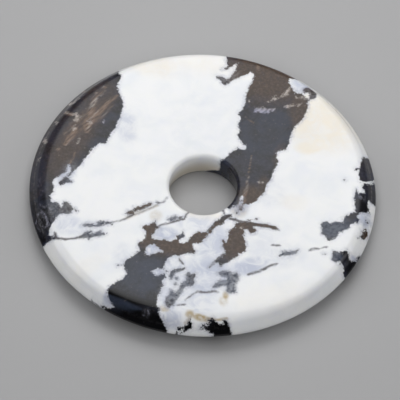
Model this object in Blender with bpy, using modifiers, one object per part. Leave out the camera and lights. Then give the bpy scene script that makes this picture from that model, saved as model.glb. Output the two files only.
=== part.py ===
"""Stone donut pendant: a ground and polished disc with a drilled hole, one solid.

Lengths are in metres and +Z is up. The disc lies on its lower face at z = 0, and the
hole runs along Z. Run with: blender --background --python part.py
"""
from math import acos, asin, atan2, cos, hypot, pi, sin

import bmesh
import bpy

# Driving sizes
OUTER_DIAMETER = 0.0400       # across the girdle, the widest line of the edge
THICKNESS = 0.0036            # between the two flat faces
HOLE_DIAMETER = 0.0077        # at the waist of the drilled hole
HOLE_EDGE_RADIUS = 0.0015     # rounding of the hole's mouth, on each face
SLOPE_WIDTH = 0.0017          # ground slope round each face, measured inwards
SLOPE_DROP = 0.00105          # how far that slope falls below its face
SLOPE_CROWN = 0.00011         # how far the slope bulges past a straight line
GIRDLE_DEPTH = 0.00055        # how far the girdle stands out past the slope
GIRDLE_ROUNDING = 0.0005      # rounding where the two halves of the edge meet

# Facets
TURN_STEPS = 120              # round the axis
SLOPE_STEPS = 4
GIRDLE_STEPS = 4              # on each half of the girdle
MOUTH_STEPS = 6               # on each mouth of the hole
WELD_DISTANCE = 1e-6

# Finish, as linear colour
STONE_COLOUR = (0.78, 0.79, 0.78, 1.0)
STONE_ROUGHNESS = 0.18

PART_NAME = "stone_donut_pendant"
NODE_NAME = "stone_donut"


def clear_scene():
    """Remove every object that the file opened with."""
    for old in list(bpy.data.objects):
        bpy.data.objects.remove(old, do_unlink=True)


def bulged_line(start, end, bulge, steps):
    """Return the points of a shallow arc from start to end, both included.

    The arc bulges to the left of the way from start to end by the given height.
    """
    dx, dz = end[0] - start[0], end[1] - start[1]
    chord = hypot(dx, dz)
    across = (-dz / chord, dx / chord)
    if bulge <= 0.0:
        return [start, end]
    radius = (chord * chord / 4 + bulge * bulge) / (2 * bulge)
    half_turn = asin(min(1.0, chord / (2 * radius)))
    points = []
    for step in range(steps + 1):
        turn = -half_turn + 2 * half_turn * step / steps
        along = 0.5 + radius * sin(turn) / chord
        rise = radius * cos(turn) - (radius - bulge)
        points.append((start[0] + dx * along + across[0] * rise,
                       start[1] + dz * along + across[1] * rise))
    return points


def girdle_points(slope_end, outer, rise):
    """Return the points of the girdle, from its upper to its lower tangent point.

    A straight facet leaves the slope at slope_end, rise above mid height, and runs
    tangent into a rounding whose outermost point is at outer.
    """
    # a rounding can be no larger than the arc that fills the whole girdle
    depth = outer - slope_end
    rounding = min(GIRDLE_ROUNDING, 0.95 * (depth * depth + rise * rise) / (2 * depth))
    centre = outer - rounding
    across, distance = slope_end - centre, hypot(slope_end - centre, rise)
    tangent = atan2(rise, across) - acos(rounding / distance)
    return [(centre + rounding * cos(tangent * (1 - step / GIRDLE_STEPS)),
             rounding * sin(tangent * (1 - step / GIRDLE_STEPS)))
            for step in range(2 * GIRDLE_STEPS + 1)]


def donut_profile():
    """Return the closed half section as (radius, height) points.

    It runs from the upper face's rim down the outer side, in along the lower face,
    up through the hole and back out over the upper face.
    """
    outer = OUTER_DIAMETER / 2
    slope_end = outer - GIRDLE_DEPTH
    face_rim = slope_end - SLOPE_WIDTH
    waist = HOLE_DIAMETER / 2
    half = THICKNESS / 2

    # upper half of the outer side, measured from mid height
    slope = bulged_line((face_rim, half), (slope_end, half - SLOPE_DROP),
                        SLOPE_CROWN, SLOPE_STEPS)
    girdle = girdle_points(slope_end, outer, half - SLOPE_DROP)
    side = slope + girdle + [(r, -h) for r, h in reversed(slope)]

    # the hole, from its lower mouth to its upper mouth
    mouth = min(HOLE_EDGE_RADIUS, 0.96 * half)
    lower_mouth = []
    for step in range(MOUTH_STEPS + 1):
        turn = pi / 2 * step / MOUTH_STEPS
        lower_mouth.append((waist + mouth * (1 - sin(turn)),
                            -half + mouth * (1 - cos(turn))))
    upper_mouth = [(r, -h) for r, h in reversed(lower_mouth)]
    return [(r, h + half) for r, h in side + lower_mouth + upper_mouth]


def turned_solid(name, profile):
    """Return an object that turns a closed (radius, height) profile about Z."""
    mesh = bpy.data.meshes.new(name)
    section = bmesh.new()
    points = [section.verts.new((r, 0.0, h)) for r, h in profile]
    for this, following in zip(points, points[1:] + points[:1]):
        section.edges.new((this, following))
    section.to_mesh(mesh)
    section.free()

    solid = bpy.data.objects.new(name, mesh)
    turn = solid.modifiers.new("turn", "SCREW")
    turn.axis = "Z"
    turn.angle = 2 * pi
    turn.steps = TURN_STEPS
    turn.render_steps = TURN_STEPS
    turn.use_merge_vertices = True
    turn.merge_threshold = WELD_DISTANCE
    turn.use_normal_calculate = True
    turn.use_smooth_shade = True
    # keeps the two flat faces flat under smooth shading
    solid.modifiers.new("face_shading", "WEIGHTED_NORMAL")
    return solid


def stone_finish():
    """Return the polished stone material."""
    finish = bpy.data.materials.new("polished_stone")
    finish.use_nodes = True
    shader = finish.node_tree.nodes["Principled BSDF"]
    shader.inputs["Base Color"].default_value = STONE_COLOUR
    shader.inputs["Roughness"].default_value = STONE_ROUGHNESS
    shader.inputs["Metallic"].default_value = 0.0
    finish.diffuse_color = STONE_COLOUR
    return finish


def main():
    """Build the pendant in a collection of its own."""
    clear_scene()
    part = bpy.data.collections.new(PART_NAME)
    bpy.context.scene.collection.children.link(part)

    donut = turned_solid(NODE_NAME, donut_profile())
    donut.data.materials.append(stone_finish())
    part.objects.link(donut)


main()
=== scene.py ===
"""Stone donut pendant: a polished disc of white stone with black and brown markings.

The disc lies flat on a pale floor. One turned mesh takes the place of the plain solid,
and its markings are laid out on the upper face in millimetres, x to the right and y
away from the viewer. They carry on over the edge, down the hole and through the stone.
"""

import logging
from dataclasses import dataclass
from enum import Enum
from functools import reduce
from math import acos, atan2, cos, hypot, pi, radians, sin, tan
from typing import ClassVar, Iterable, Union

import bmesh
import bpy
import numpy as np
from mathutils import Matrix, Vector


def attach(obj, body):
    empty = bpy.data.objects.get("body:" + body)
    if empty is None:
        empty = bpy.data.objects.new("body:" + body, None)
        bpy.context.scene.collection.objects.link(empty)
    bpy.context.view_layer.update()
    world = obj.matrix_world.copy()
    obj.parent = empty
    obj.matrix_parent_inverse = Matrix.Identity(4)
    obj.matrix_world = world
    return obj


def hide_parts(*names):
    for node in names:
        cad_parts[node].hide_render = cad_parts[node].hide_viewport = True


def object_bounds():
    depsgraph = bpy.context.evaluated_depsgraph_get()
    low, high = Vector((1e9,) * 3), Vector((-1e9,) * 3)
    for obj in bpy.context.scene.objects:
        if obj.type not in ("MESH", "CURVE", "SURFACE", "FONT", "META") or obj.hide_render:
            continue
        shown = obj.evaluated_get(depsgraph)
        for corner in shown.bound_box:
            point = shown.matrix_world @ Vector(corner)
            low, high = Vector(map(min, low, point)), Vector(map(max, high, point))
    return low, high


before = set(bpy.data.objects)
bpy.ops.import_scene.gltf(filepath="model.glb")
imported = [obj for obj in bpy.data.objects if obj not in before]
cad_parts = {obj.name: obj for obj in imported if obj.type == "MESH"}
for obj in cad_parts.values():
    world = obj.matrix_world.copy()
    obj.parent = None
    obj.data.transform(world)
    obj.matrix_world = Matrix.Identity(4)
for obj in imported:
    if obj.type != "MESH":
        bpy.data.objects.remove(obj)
CAD_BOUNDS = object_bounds()

log = logging.getLogger("stone_donut_scene")

MM = 0.001
FULL_TURN = 360
FAR_AWAY = 1e9      # more than any distance on the disc
TINY = 1e-12        # keeps a divisor above zero

NODE = "stone_donut"
BODY = "root"

Pair = tuple[float, float]
Triple = tuple[float, float, float]
Colour = Triple
Outline = tuple[Pair, ...]
Line = tuple[Triple, ...]       # points of x, y and half width
Socket = bpy.types.NodeSocket
Value = Union[float, Socket]


# Distances from places to outlines and lines

def soft_step(value: np.ndarray) -> np.ndarray:
    """Return values held between 0 and 1 and eased at both ends."""
    held = np.clip(value, 0.0, 1.0)
    return held * held * (3.0 - 2.0 * held)


def nearest_on_line(places: np.ndarray, line: Line) -> tuple[np.ndarray, ...]:
    """Find where each place lies beside an open line.

    Args:
        places: Places on the upper face, n by 2, in millimetres.
        line: Points of x, y and half width.

    Returns:
        For each place the gap to the line, the side offset across it, and the half
        width there, which falls below zero past the line's ends.
    """
    gap = np.full(len(places), FAR_AWAY)
    side = np.zeros(len(places))
    width = np.full(len(places), -1.0)
    points = np.array(line)
    last = len(points) - 2
    for number, (start, end) in enumerate(zip(points[:-1], points[1:])):
        way = end[:2] - start[:2]
        length = max(TINY, hypot(*way))
        way = way / length
        offset = places - start[:2]
        along = offset @ way
        across = offset @ np.array((-way[1], way[0]))
        held = np.clip(along, 0.0, length)
        here = np.hypot(along - held, across)
        wide = start[2] + (end[2] - start[2]) * held / length
        before = (along < 0.0) & (number == 0)
        after = (along > length) & (number == last)
        wide = wide + np.where(before, along, 0.0) - np.where(after, along - length, 0.0)
        beside = (along >= 0.0) & (along <= length) | before | after
        near = here < gap
        gap = np.where(near, here, gap)
        side = np.where(near, np.where(beside, across, np.copysign(here, across)), side)
        width = np.where(near, wide, width)
    return gap, side, width


def depth_inside(places: np.ndarray, outline: Outline) -> np.ndarray:
    """Measure how deep each place lies inside a closed outline.

    Args:
        places: Places on the upper face, n by 2, in millimetres.
        outline: The outline's points, in order round it.

    Returns:
        The distance to the outline's nearest side, below zero outside it.
    """
    corners = np.array(outline)
    gap = np.full(len(places), FAR_AWAY)
    inside = np.zeros(len(places), dtype=bool)
    for start, end in zip(corners, np.roll(corners, -1, axis=0)):
        way = end - start
        offset = places - start
        along = np.clip(offset @ way / max(TINY, way @ way), 0.0, 1.0)
        gap = np.minimum(gap, np.hypot(*(offset - along[:, None] * way).T))
        crossed = (start[1] > places[:, 1]) != (end[1] > places[:, 1])
        rise = way[1] if way[1] != 0.0 else TINY
        at = start[0] + (places[:, 1] - start[1]) * way[0] / rise
        inside ^= crossed & (places[:, 0] < at)
    return np.where(inside, gap, -gap)


# What the markings are drawn with

class Layer(Enum):
    """The named fields that the mesh carries for the stone's finish."""

    DARK = "dark_edge"
    FLECK = "fleck_edge"
    VEIN_SIDE = "vein_side"
    VEIN_REACH = "vein_reach"
    BROWN = "brown"
    # grey patches, and a painted sheen on the front slope
    GREY_AND_SHEEN = "grey"
    HAZE = "haze"
    CREAM = "cream"
    OCHRE = "ochre"
    COOL = "cool"
    CRYSTAL = "crystal"
    THIN = "thin"
    # painted shade: blacker dark stone on the rim slopes and girdle
    PAINTED_RIM_SHADE = "painted_rim_shade"


@dataclass(frozen=True)
class Cloud:
    """A soft oval of tint: centre, half lengths, turn in degrees, and strength."""

    EDGE: ClassVar[float] = 1.6     # how fast the tint rises inwards from the edge

    x: float
    y: float
    across: float
    along: float
    turn: float = 0.0
    strength: float = 1.0

    def at(self, places: np.ndarray) -> np.ndarray:
        """Work out the tint at each place.

        Args:
            places: Places on the upper face, n by 2, in millimetres.

        Returns:
            The tint, from 0 to the cloud's strength.
        """
        offset = places - np.array((self.x, self.y))
        turn = radians(self.turn)
        across = (offset[:, 0] * cos(turn) + offset[:, 1] * sin(turn)) / self.across
        along = (-offset[:, 0] * sin(turn) + offset[:, 1] * cos(turn)) / self.along
        return self.strength * soft_step(self.EDGE * (1.0 - np.hypot(across, along)))


@dataclass(frozen=True)
class Smear:
    """A soft line of tint: its points, and its strength."""

    CORE: ClassVar[float] = 0.4     # share of the half width that has the full tint
    FADE: ClassVar[float] = 1.2     # share over which the tint then fades
    LEAST: ClassVar[float] = 0.03   # least half width

    points: Line
    strength: float = 1.0

    def at(self, places: np.ndarray) -> np.ndarray:
        """Work out the tint at each place.

        Args:
            places: Places on the upper face, n by 2, in millimetres.

        Returns:
            The tint, from 0 to the smear's strength.
        """
        gap, _, width = nearest_on_line(places, self.points)
        wide = np.maximum(width, self.LEAST)
        return self.strength * soft_step(1.0 - (gap - self.CORE * wide) / (self.FADE * wide))


# Markings of the stone, in millimetres on the upper face

DARK_PATCHES: dict[str, Outline] = {
    "left": (
        (-10.8, 21.5), (-10.65, 17.0), (-10.65, 15.6), (-10.3, 14.9), (-10.4, 14.2),
        (-10.6, 13.8), (-10.6, 12.8), (-10.3, 12.2), (-10.0, 11.2), (-9.8, 10.5),
        (-9.95, 9.8), (-10.1, 9.0), (-10.3, 8.0), (-10.4, 7.6), (-10.6, 7.1),
        (-10.95, 6.5), (-11.2, 5.9), (-11.5, 5.0), (-11.65, 4.8), (-11.95, 4.95),
        (-12.33, 4.86), (-12.55, 4.55), (-12.95, 4.1), (-13.17, 3.67), (-13.4, 3.17),
        (-13.72, 2.72), (-14.05, 2.2), (-14.15, 1.67), (-14.33, 1.55), (-14.55, 1.17),
        (-14.95, 0.78), (-15.2, 0.35), (-15.55, -0.17), (-15.45, -0.65), (-15.1, -0.9),
        (-15.6, -0.97), (-15.95, -1.17), (-16.27, -1.5), (-16.5, -1.3), (-16.55, -0.95),
        (-16.33, -0.67), (-16.05, -0.52), (-15.8, -0.25), (-15.6, 0.05), (-15.37, 0.33),
        (-15.2, 0.9), (-15.3, 1.25), (-15.45, 1.6), (-15.67, 1.55), (-15.9, 1.27),
        (-15.92, 0.78), (-16.0, 0.45), (-16.5, 0.05), (-16.6, -0.17), (-16.9, -0.33),
        (-17.1, -0.5), (-17.2, -0.78), (-17.28, -1.22), (-17.05, -1.67),
        (-17.17, -2.0), (-17.17, -2.5), (-17.4, -2.83), (-17.5, -3.0), (-17.42, -3.3),
        (-17.28, -3.7), (-17.25, -4.1), (-17.05, -3.95), (-16.78, -3.83),
        (-16.5, -3.95), (-16.22, -4.28), (-16.0, -4.55), (-15.92, -4.22),
        (-15.9, -3.9), (-15.6, -3.72), (-15.33, -3.9), (-15.05, -4.22),
        (-14.78, -4.5), (-14.45, -4.6), (-14.72, -4.78), (-14.9, -4.95),
        (-14.9, -5.17), (-15.28, -5.4), (-15.95, -5.4), (-16.45, -5.67),
        (-16.55, -6.1), (-16.72, -6.5), (-17.0, -6.7), (-17.22, -7.1), (-17.28, -7.67),
        (-17.17, -8.17), (-16.83, -8.5), (-16.28, -8.72), (-16.8, -8.75),
        (-17.3, -8.8), (-17.6, -8.95), (-18.0, -9.2), (-19.5, -9.8), (-25.0, -9.0),
        (-25.0, 21.5)),
    "upper band": (
        (1.7, 21.5), (1.8, 19.5), (2.0, 17.8), (2.1, 17.3), (1.8, 16.95), (1.45, 16.7),
        (2.0, 16.75), (2.4, 17.0), (2.7, 17.35), (2.95, 17.5), (3.3, 17.8),
        (3.25, 17.25), (3.1, 16.7), (2.8, 16.05), (2.4, 15.4), (2.05, 15.1),
        (1.8, 15.45), (1.2, 15.6), (0.7, 15.65), (1.2, 15.15), (1.5, 14.8),
        (1.85, 14.3), (2.45, 14.75), (3.0, 15.3), (3.45, 15.55), (4.0, 15.85),
        (4.45, 16.15), (4.8, 16.55), (5.0, 16.4), (5.3, 15.95), (5.2, 15.7),
        (5.0, 14.85), (4.7, 14.05), (4.5, 13.3), (4.4, 12.5), (4.35, 11.7),
        (4.05, 10.8), (3.8, 10.6), (3.6, 10.2), (3.85, 9.85), (3.9, 9.3), (3.7, 8.4),
        (3.85, 7.7), (3.7, 6.95), (4.0, 6.4), (4.35, 5.9), (4.8, 5.55), (4.7, 5.2),
        (4.2, 5.1), (3.8, 5.3), (3.3, 4.85), (2.8, 4.3), (2.35, 3.7), (1.9, 3.45),
        (1.2, 2.2), (0.8, 0.0), (1.6, -1.6), (2.45, -2.95), (2.85, -3.2), (3.2, -3.55),
        (3.5, -3.1), (4.05, -2.77), (4.3, -2.3), (4.45, -1.7), (4.8, -1.3),
        (4.75, -2.0), (4.5, -2.85), (5.1, -2.8), (5.8, -2.45), (6.35, -2.0),
        (6.65, -1.35), (7.05, -0.8), (7.2, -0.2), (7.45, 0.55), (7.8, 1.2),
        (7.95, 1.9), (8.1, 2.45), (8.3, 3.0), (8.5, 3.55), (8.3, 4.1), (8.3, 4.9),
        (8.5, 5.2), (9.3, 5.4), (9.5, 5.7), (9.65, 6.5), (9.8, 7.15), (10.0, 7.95),
        (10.2, 8.5), (10.45, 9.05), (10.9, 9.6), (11.2, 10.15), (11.45, 10.85),
        (11.65, 11.3), (11.65, 12.05), (11.7, 12.6), (11.75, 13.0), (11.3, 13.25),
        (11.05, 13.6), (10.7, 13.75), (10.24, 13.75), (10.0, 14.15), (9.6, 14.7),
        (9.45, 15.3), (9.35, 15.85), (10.0, 15.95), (10.5, 17.0), (11.5, 19.5),
        (8.0, 24.0)),
    "curl": (
        (11.1, 13.9), (11.15, 14.5), (11.7, 14.75), (12.2, 14.65), (12.6, 14.2),
        (12.75, 13.7), (12.5, 13.1), (11.9, 12.95), (11.85, 13.4), (12.0, 13.75),
        (11.75, 13.95), (11.45, 13.9)),
    "right rim, upper": (
        (20.5, 6.6), (18.95, 5.95), (18.35, 5.5), (18.2, 4.9), (18.05, 4.35),
        (17.95, 3.55), (17.85, 2.8), (17.9, 2.0), (18.05, 1.5), (18.8, 1.78),
        (19.4, 2.3), (19.75, 2.8), (21.5, 3.2)),
    "right rim, middle": (
        (18.45, 1.35), (18.3, 0.9), (18.55, 0.2), (18.95, -0.35), (19.2, -0.8),
        (19.9, -0.8), (21.5, -0.8), (21.5, 2.5), (19.75, 2.4), (19.45, 1.95),
        (18.9, 1.5)),
    "right": (
        (17.55, 0.45), (17.5, -0.2), (17.4, -0.9), (17.45, -1.65), (17.6, -2.2),
        (17.55, -3.0), (17.0, -3.2), (16.55, -3.55), (16.2, -4.0), (16.15, -4.55),
        (15.55, -4.4), (15.1, -4.55), (14.65, -4.8), (14.45, -4.5), (13.9, -4.65),
        (13.65, -4.95), (13.85, -5.55), (13.9, -6.2), (14.2, -6.45), (14.45, -7.0),
        (14.7, -7.3), (15.0, -6.9), (15.35, -6.8), (15.65, -6.35), (15.8, -5.9),
        (16.15, -5.9), (16.35, -5.5), (16.7, -5.45), (17.0, -5.0), (17.2, -4.55),
        (17.8, -4.35), (18.1, -4.1), (17.8, -3.55), (17.9, -3.1), (18.2, -2.8),
        (18.8, -2.55), (19.3, -2.35), (19.0, -1.45), (18.9, -0.8), (18.45, -0.35),
        (17.8, -0.1)),
    "right specks": (
        (18.75, -4.35), (19.05, -4.6), (19.15, -5.2), (18.8, -5.75), (18.0, -6.2),
        (18.45, -5.5), (18.4, -5.1), (18.7, -4.9)),
    "right dot": ((18.9, -3.45), (19.15, -3.4), (19.2, -3.65), (18.95, -3.75)),
    "lower right notch": (
        (16.3, -8.45), (16.6, -8.15), (16.95, -8.4), (17.0, -8.9), (17.4, -9.1),
        (17.9, -8.7), (18.1, -8.1), (18.35, -7.95), (18.8, -8.6), (19.2, -9.6),
        (18.2, -12.0), (16.9, -11.1), (16.4, -10.95), (16.55, -10.4), (16.2, -10.0),
        (15.9, -9.7), (16.1, -9.1)),
    "lower right grey": (
        (15.05, -9.1), (15.25, -8.5), (15.7, -8.7), (16.3, -8.55), (16.3, -9.1),
        (16.2, -9.8), (15.65, -10.0), (15.1, -9.8)),
    "brown patch": (
        (3.9, -5.55), (4.15, -5.2), (4.7, -5.3), (5.6, -5.1), (5.95, -5.45),
        (5.95, -5.8), (6.3, -6.2), (6.15, -6.7), (5.6, -6.65), (5.3, -6.1),
        (5.0, -6.4), (4.95, -7.0), (5.0, -7.65), (5.3, -8.55), (5.3, -9.1),
        (4.85, -9.6), (4.55, -9.65), (4.3, -10.1), (3.85, -10.45), (3.55, -10.65),
        (3.3, -10.9), (2.6, -11.2), (2.4, -11.65), (2.2, -11.1), (1.5, -11.35),
        (1.1, -11.8), (2.15, -10.65), (2.6, -10.2), (2.95, -9.8), (2.85, -9.45),
        (2.6, -8.9), (2.65, -8.45), (2.95, -8.1), (3.15, -7.65), (3.3, -7.0),
        (3.15, -6.5), (3.45, -6.3), (3.8, -6.0)),
    "front band": (
        (-5.2, -5.7), (-5.6, -6.1), (-6.05, -6.4), (-6.65, -6.55), (-6.45, -7.0),
        (-6.1, -7.35), (-6.2, -8.0), (-6.4, -8.55), (-6.9, -8.8), (-7.1, -9.15),
        (-6.9, -9.6), (-6.8, -10.0), (-7.3, -10.45), (-7.85, -11.1), (-8.5, -11.6),
        (-8.5, -12.2), (-8.15, -12.8), (-8.05, -13.2), (-8.35, -13.9), (-9.2, -14.5),
        (-9.98, -15.2), (-10.1, -15.7), (-10.12, -16.15), (-9.83, -16.45),
        (-9.3, -17.1), (-9.2, -17.3), (-9.8, -17.1), (-10.7, -16.85), (-11.3, -16.5),
        (-11.85, -16.05), (-13.2, -17.4), (-14.0, -19.5), (-4.0, -24.0),
        (-3.15, -19.55), (-3.7, -18.9), (-4.3, -18.2), (-4.15, -17.8),
        (-4.5, -17.35), (-4.55, -16.8), (-4.35, -15.9), (-4.15, -15.1),
        (-3.9, -14.55), (-4.0, -14.0), (-3.7, -13.45), (-3.95, -12.0),
        (-3.85, -11.55), (-3.55, -10.9), (-3.4, -10.65), (-2.95, -10.45),
        (-2.3, -10.4), (-1.85, -10.2), (-1.3, -9.9), (-0.6, -9.95), (-0.45, -9.5),
        (-0.85, -9.15), (-0.9, -8.65), (-0.5, -8.5), (0.05, -8.45), (0.35, -8.1),
        (0.6, -7.55), (1.05, -7.05), (1.4, -6.5), (1.5, -6.1), (2.15, -5.85),
        (2.6, -5.4), (2.95, -4.9), (3.3, -4.4), (2.8, -4.4), (2.45, -4.5),
        (2.15, -4.9), (1.55, -5.45), (1.3, -6.0), (0.95, -6.6), (0.85, -6.95),
        (0.3, -6.9), (-0.3, -6.95), (-0.85, -7.35), (-1.2, -7.8), (-1.4, -8.35),
        (-1.85, -8.65), (-2.45, -8.45), (-2.2, -8.0), (-1.8, -7.8), (-2.0, -7.0),
        (-2.3, -7.45), (-2.6, -7.55), (-2.85, -8.3), (-3.3, -8.45), (-3.95, -8.3),
        (-5.15, -8.35), (-5.4, -8.2), (-5.5, -7.8), (-5.2, -7.35), (-5.15, -6.8),
        (-4.65, -6.6), (-5.15, -6.2)),
    "blade": (
        (5.2, -5.1), (5.9, -5.3), (6.5, -5.2), (7.05, -5.35), (7.45, -5.3), (7.95, -5.5),
        (8.55, -5.6), (8.8, -5.95), (8.3, -5.93), (7.6, -5.8), (6.9, -5.75),
        (6.2, -5.75), (5.6, -5.7), (5.2, -5.5)),
    "streak a": (
        (-1.55, -12.1), (-2.5, -12.25), (-3.0, -12.5), (-3.35, -13.2), (-3.05, -13.65),
        (-2.85, -13.3), (-2.75, -12.85), (-2.4, -12.6), (-1.7, -12.35)),
    "streak b": (
        (-1.1, -12.7), (-0.85, -13.0), (-0.3, -12.7), (-0.35, -13.2), (-0.6, -13.45),
        (-0.4, -14.0), (-0.55, -14.35), (-1.3, -14.5), (-1.7, -14.9), (-1.95, -15.65),
        (-2.35, -16.45), (-2.7, -17.2), (-3.15, -17.55), (-3.5, -17.1),
        (-3.45, -16.35), (-3.05, -15.8), (-2.95, -15.2), (-2.5, -15.65),
        (-2.05, -15.0), (-1.8, -14.2), (-1.3, -13.8), (-1.15, -13.35), (-1.35, -13.0)),
    "streak c": (
        (2.2, -12.55), (2.7, -12.3), (3.5, -12.2), (3.85, -12.55), (4.35, -12.4),
        (4.6, -13.1), (4.2, -13.8), (4.15, -14.45), (4.35, -15.0), (3.7, -15.1),
        (3.3, -14.9), (3.4, -14.3), (3.05, -14.0), (2.15, -14.45), (1.7, -14.6),
        (2.05, -14.0), (2.6, -13.55), (3.3, -13.45), (3.4, -12.9), (2.6, -12.8)),
    "spindle": (
        (9.05, -9.7), (9.35, -9.15), (9.8, -9.05), (10.7, -8.95), (11.2, -8.65),
        (10.9, -9.1), (10.0, -9.5)),
    "left blob": (
        (-8.78, -4.95), (-8.45, -4.6), (-8.1, -4.55), (-7.83, -4.39), (-7.78, -4.05),
        (-7.55, -4.05), (-7.33, -3.83), (-7.0, -3.83), (-6.67, -3.55), (-6.22, -3.45),
        (-6.0, -3.25), (-5.78, -3.28), (-5.72, -3.45), (-6.05, -3.6), (-6.28, -3.83),
        (-6.72, -3.95), (-6.83, -4.17), (-7.17, -4.28), (-7.33, -4.5), (-7.72, -4.67),
        (-7.83, -4.95), (-8.28, -4.95)),
    "left blob end": ((-5.25, -3.3), (-5.1, -3.05), (-4.9, -3.1), (-4.95, -3.35)),
    "left upper vein": (
        (-13.5, -6.95), (-13.05, -6.72), (-12.83, -6.5), (-12.67, -6.72),
        (-12.05, -6.7), (-11.6, -6.67), (-11.75, -6.39), (-11.6, -6.28),
        (-11.28, -6.15), (-11.05, -6.28), (-10.5, -6.28), (-10.45, -6.42),
        (-10.95, -6.53), (-11.39, -6.83), (-11.95, -6.95), (-12.6, -7.02)),
    "left lower vein": (
        (-13.95, -8.62), (-13.28, -8.1), (-12.83, -7.78), (-12.4, -7.65),
        (-12.6, -8.0), (-12.28, -8.05), (-11.72, -7.78), (-11.35, -7.55),
        (-11.25, -7.83), (-10.7, -7.93), (-11.28, -8.12), (-11.83, -8.33),
        (-12.45, -8.5), (-12.65, -8.85), (-12.83, -8.58), (-13.28, -8.62)),
    "upper vein blob": (
        (-3.78, -5.45), (-3.4, -5.2), (-2.95, -4.93), (-2.8, -5.1), (-3.15, -5.45),
        (-3.4, -5.6)),
    "reddish blob": ((4.25, -3.35), (4.4, -3.0), (4.65, -3.15), (4.6, -3.55), (4.4, -3.6)),
    "front flake left": (
        (-0.7, -18.7), (-0.95, -19.2), (-1.3, -19.4), (-2.05, -19.45),
        (-2.15, -19.85), (-1.3, -19.8), (-0.35, -19.5)),
    "front flake right": (
        (1.8, -18.45), (1.45, -18.65), (1.6, -18.95), (0.95, -19.15), (0.45, -19.45),
        (1.3, -19.45), (1.5, -19.65), (2.6, -20.2), (4.3, -20.4), (4.15, -19.55),
        (3.85, -19.2), (3.7, -18.9), (3.4, -18.55), (3.05, -18.55), (3.1, -18.9),
        (2.5, -18.9), (2.05, -18.65)),
}

# White stone shut in by the dark
WHITE_ISLANDS: dict[str, Outline] = {
    "front inclusion": (
        (-6.1, -9.35), (-5.6, -9.0), (-5.05, -9.1), (-4.6, -9.55), (-4.05, -10.0),
        (-5.05, -10.2), (-5.7, -10.55), (-6.2, -10.45), (-6.1, -9.9)),
    "front spot": (
        (-5.35, -12.8), (-4.7, -12.3), (-3.85, -12.3), (-3.5, -12.6), (-3.7, -12.95),
        (-4.05, -13.1), (-4.6, -13.35), (-5.05, -13.1)),
}

# Pale grains and streaks with a clear edge, inside the dark
FLECKS: dict[str, Outline] = {
    "cream": (
        (9.6, 14.63), (9.72, 14.17), (9.35, 13.55), (8.95, 13.2), (8.3, 12.8),
        (7.7, 12.45), (7.1, 12.2), (7.35, 12.5), (7.9, 12.85), (8.35, 13.15),
        (8.8, 13.6), (9.2, 14.2)),
    "pale dash a": (
        (10.2, 13.3), (10.9, 13.3), (11.5, 13.2), (11.9, 13.3), (11.75, 12.95),
        (11.0, 12.98), (10.3, 13.08)),
    "pale dash b": (
        (9.0, 11.5), (9.05, 11.8), (9.7, 12.02), (10.4, 12.12), (11.0, 12.3),
        (10.6, 11.93), (9.8, 11.7), (9.3, 11.5)),
    "spark a": ((6.25, 0.65), (6.45, 0.75), (6.5, 0.5)),
    "spark b": ((6.7, 0.55), (6.95, 0.62), (6.85, 0.35)),
    "spark c": ((5.95, 2.25), (6.1, 2.3), (6.05, 2.1)),
    "cream bit": ((7.45, 12.6), (7.85, 13.1), (8.0, 13.2), (7.75, 13.25), (7.4, 12.9)),
    "left bright": (
        (-16.45, 11.7), (-16.3, 11.0), (-15.95, 10.7), (-15.4, 10.9), (-15.05, 11.5),
        (-15.05, 12.2), (-15.2, 12.3), (-15.35, 11.7), (-15.75, 11.35), (-16.05, 11.4),
        (-16.25, 11.85)),
    "left tail": ((-16.65, 9.75), (-16.2, 9.45), (-15.75, 8.9), (-16.1, 8.95), (-16.5, 9.35)),
    "left round": (
        (-15.75, 9.0), (-15.2, 9.15), (-14.8, 8.9), (-14.6, 8.4), (-14.95, 7.8),
        (-15.55, 7.9), (-15.2, 8.35), (-15.3, 8.7)),
    "left shard": ((-13.85, 7.95), (-13.4, 8.25), (-13.35, 7.65), (-13.7, 7.5)),
    "left sliver": ((-15.5, 6.95), (-15.2, 7.3), (-15.05, 6.75), (-15.3, 6.45)),
    "left corner": ((-12.15, 8.0), (-11.9, 8.35), (-11.8, 7.95)),
    "left top": ((-14.8, 13.1), (-14.65, 13.5), (-14.35, 13.35), (-14.55, 12.95)),
    "left rim a": (
        (-17.85, 8.8), (-17.5, 8.7), (-17.2, 8.0), (-17.3, 7.55), (-17.55, 7.8),
        (-17.6, 8.4)),
    "left rim b": (
        (-18.85, 6.1), (-18.65, 6.2), (-18.4, 5.8), (-18.5, 5.3), (-18.35, 4.9),
        (-18.65, 4.75), (-18.8, 5.2), (-18.95, 5.6)),
    "left rim c": ((-19.25, 3.2), (-19.0, 3.3), (-18.9, 2.8), (-19.05, 2.35), (-19.2, 2.6)),
    "left chip": ((-14.85, 5.5), (-14.55, 5.3), (-14.55, 4.7), (-14.8, 4.6)),
    "oval": (
        (5.45, 10.9), (5.6, 11.3), (6.1, 11.42), (6.57, 11.55), (6.9, 11.25),
        (7.4, 11.17), (7.94, 11.22), (7.9, 10.95), (7.4, 10.75), (6.94, 10.5),
        (6.2, 10.68), (5.6, 10.6)),
    "dot a": ((4.65, 12.1), (4.8, 12.4), (5.0, 12.15), (4.85, 12.0)),
    "brown fleck": ((4.5, -6.0), (4.65, -5.85), (4.8, -6.05), (4.65, -6.15)),
}

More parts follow.
